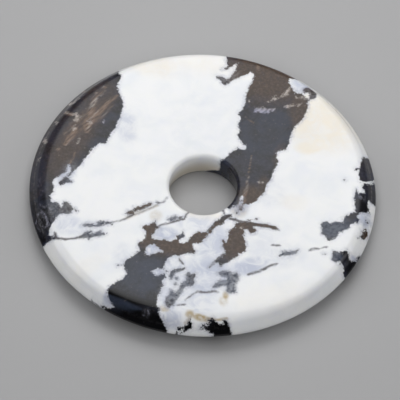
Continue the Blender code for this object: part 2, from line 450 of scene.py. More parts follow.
# Thin lines of dark stone
VEINS: tuple[Line, ...] = (
    ((-18.2, -8.6, 0.12), (-17.2, -8.65, 0.14), (-16.6, -8.72, 0.1),
     (-15.9, -8.86, 0.1), (-15.3, -8.98, 0.13), (-14.7, -8.9, 0.09),
     (-14.1, -8.75, 0.09), (-13.6, -8.6, 0.1)),
    ((-10.5, -6.4, 0.06), (-10.0, -6.2, 0.0), (-9.4, -6.0, 0.0),
     (-8.83, -5.78, 0.02), (-8.3, -5.4, 0.1), (-7.8, -5.05, 0.1),
     (-7.2, -4.75, 0.05), (-6.5, -4.35, 0.02), (-5.6, -3.8, 0.02),
     (-5.0, -3.35, 0.06), (-4.4, -2.95, 0.05), (-4.05, -2.3, 0.05)),
    ((-8.4, -4.8, 0.1), (-7.6, -4.4, 0.17), (-6.9, -4.05, 0.17), (-6.2, -3.65, 0.14),
     (-5.8, -3.4, 0.06)),
    ((5.2, -5.3, 0.14), (6.4, -5.5, 0.18), (7.2, -5.55, 0.18), (8.0, -5.7, 0.15),
     (8.6, -5.85, 0.1)),
    ((-1.4, -3.6, 0.05), (-1.45, -4.1, 0.04), (-1.75, -4.65, 0.05),
     (-1.95, -5.2, 0.08), (-2.6, -5.45, 0.12), (-3.4, -5.8, 0.1),
     (-4.1, -6.1, 0.08), (-4.9, -6.4, 0.03)),
    ((2.35, -3.4, 0.07), (2.5, -3.9, 0.06), (2.65, -4.3, 0.05)),
    ((3.2, -4.75, 0.12), (3.8, -5.0, 0.12), (4.6, -5.2, 0.16), (5.6, -5.3, 0.2)),
    ((8.4, -5.85, 0.12), (8.95, -6.15, 0.04)),
    ((-1.3, -16.45, 0.02), (-0.6, -15.7, 0.04), (0.05, -15.15, 0.07),
     (0.6, -15.25, 0.1), (1.15, -15.2, 0.08), (1.95, -15.0, 0.08), (2.4, -15.1, 0.03)),
    ((5.6, -12.5, 0.1), (6.2, -12.15, 0.16), (6.9, -11.95, 0.11),
     (7.55, -11.5, 0.13), (8.1, -11.05, 0.09), (8.9, -10.75, 0.04)),
    ((-2.15, -17.2, 0.07), (-1.3, -17.05, 0.05)),
    ((8.2, -8.2, 0.07), (9.1, -8.2, 0.06)),
    ((12.45, -8.7, 0.06), (12.8, -8.45, 0.14), (13.2, -8.35, 0.12),
     (13.6, -8.35, 0.02)),
    ((13.95, -8.2, 0.02), (14.25, -8.1, 0.07), (14.5, -8.0, 0.02)),
    ((-2.25, -10.85, 0.1), (-1.75, -11.55, 0.05)),
    ((-16.55, -8.05, 0.09), (-16.4, -8.6, 0.09)),
    ((-2.5, -5.1, 0.1), (-2.2, -5.0, 0.09)),
    ((2.9, -9.7, 0.1), (2.2, -10.5, 0.16), (1.7, -11.1, 0.13), (1.2, -11.75, 0.05)),
    ((3.4, -10.6, 0.2), (2.8, -10.9, 0.2), (2.45, -11.55, 0.08)),
    ((0.8, -6.95, 0.2), (1.3, -6.2, 0.2), (1.8, -5.6, 0.26), (2.4, -5.0, 0.28),
     (2.9, -4.6, 0.3), (3.3, -4.3, 0.15)),
)

# Single grains of dark stone: x, y, radius
DOTS: tuple[Triple, ...] = (
    (-10.12, -6.5, 0.13), (6.3, -4.7, 0.14), (5.45, -4.95, 0.17), (3.83, -4.85, 0.12),
    (4.0, -4.0, 0.16), (-14.3, -4.95, 0.1), (17.6, 3.2, 0.2), (16.2, 1.55, 0.1),
    (14.15, -9.05, 0.12), (15.95, -10.2, 0.08), (18.0, -8.3, 0.15),
    (-2.45, -13.55, 0.1), (-2.5, -14.3, 0.09), (2.65, -8.0, 0.14), (-3.6, -12.6, 0.1),
    (-9.1, -12.2, 0.08),
)

# Soft tints, with painted shade and a painted sheen on the rim slopes
TINTS: dict[Layer, tuple[Union[Cloud, Smear], ...]] = {
    Layer.BROWN: (
        Cloud(7.2, 16.5, 8.0, 6.3), Cloud(10.9, 10.9, 2.0, 4.6, 12, 0.9),
        Cloud(8.6, 4.6, 1.0, 2.6, -10, 0.5),
        Cloud(5.8, -1.8, 2.2, 2.6), Cloud(7.0, 0.0, 1.0, 2.0, 0, 0.7),
        Cloud(4.5, -7.5, 4.2, 4.6), Cloud(0.5, -7.0, 4.0, 3.4), Cloud(-3.0, -8.6, 4.5, 2.6),
        Cloud(-6.2, -7.5, 2.2, 3.0), Cloud(-7.0, -4.2, 3.4, 2.0), Cloud(7.5, -5.8, 3.0, 1.2),
        Cloud(-15.2, 5.4, 2.6, 8.6, -24, 0.75), Cloud(-12.8, 11.5, 3.0, 4.6, -20, 0.5),
        Smear(((-19.0, -2.6, 0.8), (-18.9, 1.5, 1.2), (-18.0, 6.0, 1.5),
               (-16.2, 10.2, 1.6), (-12.8, 14.6, 1.8)), 0.28),
        Cloud(18.6, 3.4, 1.2, 4.2, 0, 0.25),
        Cloud(-16.5, 1.0, 1.4, 3.0, 0, 0.4), Cloud(4.4, -3.4, 0.9, 0.9),
        Cloud(-15.6, -4.7, 1.4, 1.2, 0, 0.35), Cloud(18.8, -5.1, 0.9, 1.2)),
    Layer.GREY_AND_SHEEN: (
        Cloud(15.2, -5.4, 2.6, 2.2, 0, 1.0), Cloud(-6.5, -13.2, 4.2, 3.6, 0, 0.6),
        Cloud(6.6, 7.0, 3.6, 6.0, -15, 0.25), Cloud(-2.2, -14.8, 2.4, 3.0, 0, 0.9),
        Cloud(3.4, -13.6, 2.4, 2.4, 0, 0.9), Cloud(10.0, -9.3, 1.6, 1.0, 0, 0.9),
        Cloud(15.7, -9.3, 0.8, 0.8, 0, 1.0), Cloud(-15.9, -4.9, 1.6, 1.4, 0, 0.25),
        Cloud(-12.0, -7.4, 2.6, 1.8, 0, 0.35), Cloud(-3.0, -5.4, 1.6, 0.9, 0, 0.5),
        Cloud(-2.0, -7.6, 0.8, 0.9, 0, 0.8),
        # painted sheen: a grey band on the front slope, between two bands of painted shade
        Smear(((-10.2, -16.15, 0.15), (-9.3, -16.75, 0.32), (-8.4, -17.1, 0.36),
               (-7.4, -17.5, 0.26), (-6.2, -17.75, 0.1)), 0.75),
        Cloud(18.7, 2.8, 0.9, 3.4, 0, 0.3), Cloud(-19.0, 1.0, 0.9, 5.0, -6, 0.22)),
    Layer.HAZE: (
        Smear(((-10.5, 12.06, 0.12), (-11.6, 10.9, 0.25), (-12.2, 9.9, 0.32),
               (-13.0, 8.9, 0.42), (-13.7, 7.65, 0.5), (-13.85, 6.55, 0.3)), 0.85),
        Smear(((-12.9, 12.2, 0.15), (-13.2, 11.0, 0.26), (-13.4, 10.0, 0.3),
               (-13.65, 8.75, 0.34), (-14.1, 7.3, 0.3)), 0.85),
        Smear(((-11.0, 10.6, 0.1), (-12.0, 9.0, 0.2), (-12.8, 7.9, 0.2)), 0.4),
        Smear(((-15.0, 6.9, 0.2), (-15.35, 6.0, 0.3), (-15.9, 5.1, 0.28),
               (-16.2, 4.35, 0.2)), 0.95),
        Smear(((-12.1, 13.1, 0.15), (-12.6, 11.8, 0.2)), 0.8),
        Cloud(-13.9, 8.2, 1.5, 4.6, -38, 0.26),
        Smear(((-16.7, 9.5, 0.15), (-15.7, 8.8, 0.2)), 0.7),
        Smear(((5.4, 4.4, 0.05), (5.25, 2.6, 0.06), (5.1, 1.0, 0.08), (5.0, -0.4, 0.12),
               (4.85, -1.2, 0.2), (4.6, -2.2, 0.3), (4.35, -2.9, 0.3)), 0.6),
        Smear(((4.4, 9.8, 0.08), (5.5, 9.1, 0.06)), 0.5),
        Smear(((-15.0, 3.4, 0.1), (-15.05, 2.67, 0.1), (-15.28, 2.2, 0.1),
               (-15.5, 1.7, 0.12)), 0.8),
        Cloud(-13.7, 7.6, 0.45, 0.5, 0, 0.9), Cloud(-13.8, 6.5, 0.35, 0.4, 0, 0.8),
        Cloud(-15.3, 7.0, 0.4, 0.5, 0, 0.9), Cloud(-16.2, 6.0, 0.3, 0.4, 0, 0.5),
        Cloud(-14.6, 13.3, 0.5, 0.4, 0, 0.6), Cloud(5.7, 17.3, 0.3, 0.3, 0, 0.9),
        Cloud(-16.9, 3.7, 0.3, 0.25, 0, 0.7)),
    Layer.CREAM: (
        Cloud(13.5, 10.0, 6.2, 6.6, 30, 0.7), Cloud(12.0, 5.9, 2.4, 1.4, 0, 0.7),
        Cloud(16.0, 8.0, 1.6, 2.6, 0, 0.6), Cloud(10.5, -2.0, 2.4, 1.6, 0, 0.26),
        Cloud(-7.0, 17.4, 5.0, 3.0, -20, 0.5),
        Cloud(0.3, -4.5, 3.0, 1.0, 0, 0.6),
        Cloud(0.0, 18.5, 12.0, 4.0, 0, 0.28), Cloud(-12.5, -12.5, 4.0, 1.6, 45, 0.15),
        Cloud(8.0, -15.5, 7.0, 2.4, 20, 0.15)),
    Layer.OCHRE: (
        Cloud(-5.2, -5.0, 1.0, 1.1, 0, 0.3), Cloud(-0.7, -18.2, 0.7, 0.6, 0, 0.8),
        Cloud(0.5, -18.5, 1.3, 0.5, -10, 0.95), Cloud(1.4, -18.7, 0.7, 0.4, 0, 1.0),
        Smear(((1.2, -18.55, 0.15), (2.4, -18.65, 0.12), (3.5, -18.4, 0.12)), 0.8),
        Smear(((-0.6, -18.5, 0.12), (-1.2, -19.2, 0.15)), 0.7),
        Cloud(3.2, -15.5, 0.45, 0.8, 0, 0.9), Cloud(3.0, -16.3, 0.7, 0.9, 0, 0.45),
        Cloud(-3.6, -17.7, 0.8, 0.5, 0, 0.7), Cloud(4.3, -3.6, 1.3, 1.4, 0, 0.35),
        Smear(((-8.6, -5.6, 0.25), (-7.6, -4.95, 0.28), (-6.4, -4.3, 0.22),
               (-5.0, -3.5, 0.15)), 0.4)),
    Layer.COOL: (
        Cloud(5.8, -11.3, 3.4, 1.6, 20, 1.0), Cloud(-9.2, 7.5, 1.6, 3.4, 10, 0.6),
        Cloud(-15.0, -7.0, 2.2, 1.8, 0, 0.7), Cloud(-5.4, -9.8, 1.5, 1.2, 0, 1.0),
        Cloud(-4.4, -12.8, 1.4, 0.9, 0, 1.0), Cloud(-8.8, -11.0, 1.4, 2.6, 0, 0.3),
        Cloud(-2.6, -18.6, 1.5, 1.2, 0, 0.9), Cloud(-3.9, -7.4, 2.0, 1.3, 0, 1.0),
        Cloud(-3.0, -12.4, 2.4, 2.4, 0, 0.6), Cloud(-3.2, -16.0, 1.6, 3.0, 15, 0.6),
        Cloud(17.6, -8.7, 0.5, 0.5, 0, 0.9), Cloud(0.0, 8.0, 8.0, 7.0, 0, 0.1),
        Cloud(1.0, -13.0, 4.0, 3.8, 0, 0.95), Cloud(1.5, -8.7, 2.4, 4.0, -12, 0.8),
        Cloud(-0.5, -5.6, 3.6, 1.8, 0, 0.6), Cloud(-2.6, -11.4, 1.6, 1.4, 0, 0.9),
        Cloud(10.8, 14.9, 1.6, 1.7, 0, 0.9), Cloud(-9.8, -16.4, 1.1, 0.7, -20, 1.0),
        Cloud(6.8, -8.0, 2.6, 3.0, 0, 0.3), Cloud(8.0, -1.0, 2.4, 3.0, 0, 0.25),
        Cloud(-0.2, -16.6, 3.4, 2.2, 0, 0.7), Cloud(9.0, -9.6, 4.0, 2.4, 15, 0.35),
        Cloud(-15.7, 0.3, 1.4, 2.0, 0, 0.9), Cloud(4.2, -3.0, 1.6, 1.8, 0, 1.0),
        Cloud(18.8, -3.3, 1.2, 1.4, 0, 1.0), Cloud(-12.5, -7.2, 2.4, 1.6, 0, 0.45)),
    Layer.CRYSTAL: (
        Cloud(-18.0, -5.8, 1.3, 2.4, 10, 1.0), Cloud(18.5, -0.6, 0.7, 0.7, 0, 0.8),
        Cloud(-5.6, -18.1, 0.6, 0.6, 0, 0.7), Cloud(6.7, 0.6, 0.6, 0.25, 0, 0.5),
        Cloud(-18.6, -1.5, 0.9, 2.4, 0, 0.2)),
    # painted shade: bands and patches on the rim slopes and girdle where the dark stone is
    # painted blacker
    Layer.PAINTED_RIM_SHADE: (
        Smear(((-10.2, -15.7, 0.5), (-8.6, -16.35, 0.55), (-6.6, -16.95, 0.55),
               (-4.3, -17.3, 0.5))),
        Smear(((-9.4, -17.8, 0.6), (-7.4, -18.4, 1.1), (-5.2, -18.9, 1.4),
               (-3.2, -19.4, 1.2))),
        Smear(((-12.2, -16.5, 0.5), (-10.8, -17.4, 0.6), (-9.4, -18.2, 0.7))),
        Cloud(3.0, -19.4, 2.6, 1.3), Cloud(-1.0, -19.5, 1.6, 1.0), Cloud(17.8, -10.0, 1.3, 2.2),
        Smear(((-17.9, -8.6, 0.4), (-18.8, -6.0, 0.35), (-19.2, -3.6, 0.3)), 0.8),
        Cloud(18.6, -2.4, 1.0, 1.6, 0, 0.8)),
    Layer.THIN: (
        Cloud(-2.3, -14.9, 2.3, 4.2, -20, 0.7), Cloud(3.3, -13.7, 2.6, 2.8, 0, 0.8),
        Cloud(10.6, -9.2, 1.8, 1.2, 0, 0.6), Cloud(-3.3, -5.3, 1.8, 1.0, 0, 0.9),
        Cloud(-12.1, -6.7, 2.6, 1.0, 0, 0.45), Cloud(-12.3, -8.1, 2.8, 1.3, 0, 0.5),
        Cloud(15.4, -9.3, 1.0, 1.2, 0, 0.25), Cloud(-7.0, -4.2, 3.2, 1.6, 30, 0.15),
        Cloud(-15.4, 0.4, 1.4, 2.4, 0, 0.35), Cloud(-15.6, -4.8, 2.6, 2.0, 0, 0.3),
        Cloud(15.0, -5.6, 3.0, 2.4, 20, 0.15), Cloud(4.4, -3.3, 0.8, 0.8, 0, 0.8),
        Cloud(12.0, 14.0, 1.4, 1.4, 0, 0.3), Cloud(2.0, 15.8, 2.2, 1.6, 0, 0.3)),
}


@dataclass(frozen=True)
class Markings:
    """The stone's markings at places on the upper face, n by 2, in millimetres."""

    REACH: ClassVar[float] = 6.0                # depth noted far outside every patch
    VEIN_ZONE: ClassVar[float] = 0.3            # how far out a vein keeps its width
    VEIN_FALL: ClassVar[float] = 6.0            # how fast its width falls past that
    SIDES: ClassVar[Pair] = (-1.0, 1.0)         # limits of the side offset
    WIDTHS: ClassVar[Pair] = (-3.0, 1.0)        # limits of the width

    places: np.ndarray

    def deepest(self, outlines: Iterable[Outline]) -> np.ndarray:
        """Measure how deep each place lies inside any of several outlines.

        Args:
            outlines: Closed outlines, which may overlap.

        Returns:
            The greatest depth in millimetres, below zero outside them all.
        """
        depth = np.full(len(self.places), -self.REACH)
        for outline in outlines:
            depth = np.maximum(depth, depth_inside(self.places, outline))
        return depth

    def dark(self) -> np.ndarray:
        """Measure how deep each place lies inside dark stone.

        Returns:
            The depth in millimetres, below zero in white stone.
        """
        depth = self.deepest(DARK_PATCHES.values())
        for outline in WHITE_ISLANDS.values():
            depth = np.minimum(depth, -depth_inside(self.places, outline))
        for x, y, radius in DOTS:
            gap = np.hypot(self.places[:, 0] - x, self.places[:, 1] - y)
            depth = np.maximum(depth, radius - gap)
        return depth

    def veins(self) -> tuple[np.ndarray, np.ndarray]:
        """Find each place's nearest vein.

        Returns:
            The side offset from its middle, and its half width there.
        """
        best = np.full(len(self.places), FAR_AWAY)
        side, reach = np.zeros(len(self.places)), np.full(len(self.places), -1.0)
        for vein in VEINS:
            gap, across, width = nearest_on_line(self.places, vein)
            far = np.maximum(gap - self.VEIN_ZONE, 0.0)
            near = gap < best
            best = np.where(near, gap, best)
            side = np.where(near, across, side)
            reach = np.where(near, width - self.VEIN_FALL * far, reach)
        return np.clip(side, *self.SIDES), np.clip(reach, *self.WIDTHS)

    def tint(self, layer: Layer) -> np.ndarray:
        """Return the strongest of a layer's soft shapes at each place."""
        return np.maximum.reduce([shape.at(self.places) for shape in TINTS[layer]])

    def fields(self) -> dict[Layer, np.ndarray]:
        """Work out every layer of the markings.

        Returns:
            Each layer's value at each place.
        """
        side, reach = self.veins()
        values = {Layer.DARK: self.dark(), Layer.FLECK: self.deepest(FLECKS.values()),
                  Layer.VEIN_SIDE: side, Layer.VEIN_REACH: reach}
        values.update({layer: self.tint(layer) for layer in TINTS})
        return values


# Node building

@dataclass(frozen=True)
class Noise:
    """A noise pattern: the size of its features in millimetres, and their character."""

    MIDDLE: ClassVar[float] = 0.5

    size: float
    detail: float = 2.0
    rough: float = 0.5
    warp: float = 0.0


@dataclass(frozen=True)
class Ease:
    """A smooth step: the levels where it starts and ends, and its results there."""

    start: float
    end: float
    at_start: float = 0.0
    at_end: float = 1.0


class Sheet:
    """The node tree of a material or a world, with short calls that add to it."""

    # the sockets of a colour mix, whose names its other kinds of mix also bear
    MIX_FACTOR, MIX_FIRST, MIX_SECOND, MIX_RESULT = 0, 6, 7, 2

    def __init__(self, owner: Union[bpy.types.Material, bpy.types.World]) -> None:
        """Empty the owner's node tree.

        Args:
            owner: The material or world that is built.
        """
        owner.use_nodes = True
        self.tree = owner.node_tree
        self.tree.nodes.clear()

    def feed(self, socket: Socket, value: object) -> None:
        """Link an output to a socket, or set the socket's own value.

        Args:
            socket: The input that is fed.
            value: An output, a number, a vector or a colour.
        """
        if isinstance(value, bpy.types.NodeSocket):
            self.tree.links.new(value, socket)
        elif isinstance(value, tuple) and socket.type == "RGBA":
            socket.default_value = (*value, 1.0)
        else:
            socket.default_value = value

    def add(self, kind: str, inputs: dict[Union[int, str], object],
            **options: object) -> bpy.types.Node:
        """Add a node.

        Args:
            kind: The node's type.
            inputs: What its inputs are fed with, by their names or numbers.
            **options: The node's options.

        Returns:
            The new node.
        """
        made = self.tree.nodes.new(kind)
        for name, option in options.items():
            setattr(made, name, option)
        for name, value in inputs.items():
            self.feed(made.inputs[name], value)
        return made

    def place(self, kind: str) -> Socket:
        """Return one kind of texture coordinates."""
        return self.add("ShaderNodeTexCoord", {}).outputs[kind]

    def layer(self, layer: Layer) -> Socket:
        """Return one of the mesh's fields."""
        return self.add("ShaderNodeAttribute", {}, attribute_name=layer.value).outputs["Fac"]

    def math(self, way: str, first: Value, second: Value = 0.0) -> Socket:
        """Return two values put through a named operation."""
        return self.add("ShaderNodeMath", {0: first, 1: second}, operation=way).outputs[0]

    def total(self, *values: Value) -> Socket:
        """Return the sum of several values."""
        return reduce(lambda whole, value: self.math("ADD", whole, value), values)

    def times(self, first: Value, second: Value) -> Socket:
        """Return the product of two values."""
        return self.math("MULTIPLY", first, second)

    def scaled(self, vector: Socket, by: Triple) -> Socket:
        """Return a vector with its three components scaled."""
        return self.add("ShaderNodeVectorMath", {0: vector, 1: by},
                        operation="MULTIPLY").outputs[0]

    def component(self, vector: Socket, axis: str) -> Socket:
        """Return a vector's component along a named axis."""
        return self.add("ShaderNodeSeparateXYZ", {0: vector}).outputs[axis]

    def radius(self, where: Socket) -> Socket:
        """Return the distance from the disc's axis, in millimetres."""
        flat = self.scaled(where, (1.0 / MM, 1.0 / MM, 0.0))
        return self.add("ShaderNodeVectorMath", {0: flat}, operation="LENGTH").outputs["Value"]

    def stretched(self, where: Socket, turn: float, squash: float) -> Socket:
        """Stretch coordinates, so that patterns run long in one direction.

        Args:
            where: The coordinates to change.
            turn: Direction of the long way, in degrees from x.
            squash: How much shorter the pattern counts along it.

        Returns:
            The changed coordinates.
        """
        turned = self.add("ShaderNodeVectorRotate", {"Vector": where, "Angle": radians(-turn)},
                          rotation_type="Z_AXIS").outputs[0]
        return self.scaled(turned, (squash, 1.0, 1.0))

    def ease(self, value: Socket, step: Ease) -> Socket:
        """Put a value through a smooth step.

        Args:
            value: The value to change.
            step: The step, whose start may lie above its end.

        Returns:
            The eased value.
        """
        levels = {"Value": value, "From Min": step.start, "From Max": step.end,
                  "To Min": step.at_start, "To Max": step.at_end}
        return self.add("ShaderNodeMapRange", levels,
                        interpolation_type="SMOOTHSTEP").outputs["Result"]

    def noise(self, where: Socket, noise: Noise) -> Socket:
        """Add a noise pattern.

        Args:
            where: The coordinates that it follows.
            noise: Its size and character.

        Returns:
            Its value, from 0 to 1.
        """
        settings = {"Vector": where, "Scale": 1.0 / (noise.size * MM), "Detail": noise.detail,
                    "Roughness": noise.rough, "Distortion": noise.warp}
        return self.add("ShaderNodeTexNoise", settings, noise_dimensions="3D").outputs["Fac"]

    def swing(self, noise: Socket, reach: float) -> Socket:
        """Return a noise's value as a swing to either side of zero."""
        return self.times(self.math("SUBTRACT", noise, Noise.MIDDLE), reach)

    def mix(self, factor: Value, first: object, second: object) -> Socket:
        """Mix two colours.

        Args:
            factor: The share of the second colour.
            first: A colour or an output.
            second: A colour or an output.

        Returns:
            The mixed colour.
        """
        inputs = {self.MIX_FACTOR: factor, self.MIX_FIRST: first, self.MIX_SECOND: second}
        return self.add("ShaderNodeMix", inputs, data_type="RGBA").outputs[self.MIX_RESULT]

    def finish(self, shader: Socket, kind: str = "ShaderNodeOutputMaterial") -> None:
        """Link a shader to a new output node."""
        self.add(kind, {"Surface": shader})


# Finishes

@dataclass(frozen=True)
class Ground:
    """What every colour of the stone is worked out from."""

    sheet: Sheet
    where: Socket
    coarse: Socket
    middle: Socket
    fine: Socket


@dataclass(frozen=True)
class WhiteStone:
    """The white stone, with its tints, the grey haze beside dark stone, and painted shade down
    the hole's wall.
    """

    white: Colour = (0.865, 0.872, 0.88)
    white_cloud: Colour = (0.80, 0.82, 0.85)
    cream: Colour = (0.84, 0.77, 0.65)
    cool: Colour = (0.53, 0.565, 0.665)
    ochre: Colour = (0.43, 0.33, 0.17)
    # painted shade: the hole's wall turns darker and warmer towards its bottom
    hole_wall_shade: Colour = (0.74, 0.69, 0.60)
    halo: Colour = (0.36, 0.38, 0.46)

    billow: Noise = Noise(3.2, 4.0, 0.55, 0.4)
    wisps: Noise = Noise(1.6, 4.0, 0.65, 0.8)
    stain: Noise = Noise(0.8, 4.0, 0.7)

    cloudy: Ease = Ease(0.35, 0.75)
    cream_wisps: Ease = Ease(0.28, 0.64, 0.45, 1.0)
    cool_wisps: Ease = Ease(0.32, 0.62, 0.25, 1.0)
    ochre_stain: Ease = Ease(0.30, 0.60, 0.30, 1.0)
    wall_shade_height: Ease = Ease(3.3 * MM, 0.9 * MM)
    wall_shade_radius: Ease = Ease(5.2, 4.6)
    halo_reach: Ease = Ease(-0.5, 0.0)
    halo_patches: Ease = Ease(0.3, 0.65, 0.10, 0.5)
    halo_cool: float = 0.35

    def colour(self, ground: Ground, depth: Socket) -> Socket:
        """Work out the white stone's colour.

        Args:
            ground: The sheet, its coordinates and its noises.
            depth: How deep into dark stone, below zero in the white.

        Returns:
            The colour.
        """
        s, where = ground.sheet, ground.where
        cool_tint = s.layer(Layer.COOL)
        colour = s.mix(s.ease(s.noise(where, self.billow), self.cloudy),
                       self.white, self.white_cloud)
        wisps, stain = s.noise(where, self.wisps), s.noise(where, self.stain)
        cream = s.times(s.layer(Layer.CREAM), s.ease(wisps, self.cream_wisps))
        colour = s.mix(cream, colour, self.cream)
        cool = s.times(cool_tint, s.ease(wisps, self.cool_wisps))
        colour = s.mix(cool, colour, self.cool)
        ochre = s.times(s.layer(Layer.OCHRE), s.ease(stain, self.ochre_stain))
        colour = s.mix(ochre, colour, self.ochre)
        # painted shade, darker and warmer down the hole's wall
        wall = s.times(s.ease(s.component(where, "Z"), self.wall_shade_height),
                       s.ease(s.radius(where), self.wall_shade_radius))
        colour = s.mix(wall, colour, self.hole_wall_shade)
        spread = s.total(s.ease(ground.coarse, self.halo_patches),
                         s.times(cool_tint, self.halo_cool))
        return s.mix(s.times(s.ease(depth, self.halo_reach), spread), colour, self.halo)


@dataclass(frozen=True)
class DarkStone:
    """The dark stone: black, blue, brown and grey, with pale flecks and streaks, and painted
    shade and sheen on the rim slopes.
    """

    black: Colour = (0.008, 0.008, 0.010)
    blue_grey: Colour = (0.021, 0.021, 0.036)
    blue: Colour = (0.019, 0.027, 0.053)
    grit: Colour = (0.034, 0.034, 0.050)
    brown: Colour = (0.050, 0.029, 0.018)
    brown_light: Colour = (0.086, 0.052, 0.034)
    # painted shade for the dark stone on the rim slopes
    painted_rim_shade: Colour = (0.003, 0.003, 0.004)
    grey: Colour = (0.046, 0.060, 0.094)
    crystal: Colour = (0.30, 0.30, 0.37)
    crystal_grey: Colour = (0.055, 0.055, 0.065)
    tan: Colour = (0.25, 0.165, 0.115)
    fleck: Colour = (0.34, 0.345, 0.45)
    fleck_warm: Colour = (0.46, 0.41, 0.37)

    billow: Noise = Noise(2.6, 3.0, 0.5)
    grains: Noise = Noise(0.32, 4.0, 0.7)
    strands: Noise = Noise(0.30, 3.0, 0.6)
    strand_hues: Noise = Noise(0.55)
    dust: Noise = Noise(0.22)
    crystals: Noise = Noise(0.42, 4.0, 0.75, 0.5)
    strand_turn: float = 52.0
    strand_squash: float = 0.22
    crystal_turn: float = -68.0
    crystal_squash: float = 0.5

    cloudy: Ease = Ease(0.35, 0.7)
    bluer: Ease = Ease(0.42, 0.62, 0.0, 0.7)
    grittier: Ease = Ease(0.45, 0.70, 0.0, 0.8)
    brown_patches: Ease = Ease(0.2, 0.55, 0.6, 1.0)
    brown_specks: Ease = Ease(0.40, 0.64)
    grey_patches: Ease = Ease(0.25, 0.6, 0.55, 1.0)
    crystal_dark: Ease = Ease(0.42, 0.52)
    crystal_pale: Ease = Ease(0.53, 0.66)
    haze_strands: Ease = Ease(0.34, 0.58, 0.15, 0.95)
    warm_strands: Ease = Ease(0.48, 0.66)
    dust_grains: Ease = Ease(0.68, 0.76, 0.0, 0.16)
    fleck_ragged: float = 1.1
    fleck_ragged_fine: float = 0.7
    fleck_edge: Ease = Ease(-0.12, 0.22)
    fleck_strands: Ease = Ease(0.30, 0.56, 0.30, 1.0)
    fleck_browner: Ease = Ease(0.0, 0.35)

    def colour(self, ground: Ground) -> Socket:
        """Work out the dark stone's colour.

        Args:
            ground: The sheet, its coordinates and its noises.

        Returns:
            The colour.
        """
        s, where, middle = ground.sheet, ground.where, ground.middle
        grains = s.noise(where, self.grains)
        colour = s.mix(s.ease(ground.coarse, self.cloudy), self.black, self.blue_grey)
        colour = s.mix(s.ease(s.noise(where, self.billow), self.bluer), colour, self.blue)
        colour = s.mix(s.ease(grains, self.grittier), colour, self.grit)
        brown = s.times(s.layer(Layer.BROWN), s.ease(middle, self.brown_patches))
        specked = s.mix(s.ease(grains, self.brown_specks), self.brown, self.brown_light)
        colour = s.mix(brown, colour, specked)
        # painted shade: blacker dark stone on the rim slopes
        colour = s.mix(s.layer(Layer.PAINTED_RIM_SHADE), colour, self.painted_rim_shade)
        # grey patches, and the painted sheen on the front slope
        grey = s.times(s.layer(Layer.GREY_AND_SHEEN), s.ease(middle, self.grey_patches))
        colour = s.mix(grey, colour, self.grey)
        colour = s.mix(s.layer(Layer.CRYSTAL), colour, self.crystal_mass(ground))
        return self.flecked(ground, colour)

    def crystal_mass(self, ground: Ground) -> Socket:
        """Work out the colour of a mass of black and lavender crystals.

        Args:
            ground: The sheet, its coordinates and its noises.

        Returns:
            The colour.
        """
        s = ground.sheet
        long = s.stretched(ground.where, self.crystal_turn, self.crystal_squash)
        mixed = s.noise(long, self.crystals)
        shade = s.mix(s.ease(mixed, self.crystal_dark), self.black, self.crystal_grey)
        return s.mix(s.ease(mixed, self.crystal_pale), shade, self.crystal)

    def flecked(self, ground: Ground, colour: Socket) -> Socket:
        """Lay the pale streaks, dust and flecks over the dark.

        Args:
            ground: The sheet, its coordinates and its noises.
            colour: The colour under them.

        Returns:
            The colour with them.
        """
        s, where = ground.sheet, ground.where
        long = s.stretched(where, self.strand_turn, self.strand_squash)
        strands, hues = s.noise(long, self.strands), s.noise(long, self.strand_hues)
        streaks = s.times(s.layer(Layer.HAZE), s.ease(strands, self.haze_strands))
        warm = s.mix(s.ease(hues, self.warm_strands), self.tan, self.fleck_warm)
        colour = s.mix(streaks, colour, warm)
        dust = s.ease(s.noise(where, self.dust), self.dust_grains)
        colour = s.mix(dust, colour, self.fleck_warm)
        inside = s.total(s.layer(Layer.FLECK), s.swing(ground.middle, self.fleck_ragged),
                         s.swing(ground.fine, self.fleck_ragged_fine))
        clear = s.times(s.ease(inside, self.fleck_edge), s.ease(strands, self.fleck_strands))
        chip = s.mix(s.ease(s.layer(Layer.BROWN), self.fleck_browner),
                     self.fleck, self.fleck_warm)
        return s.mix(clear, colour, chip)


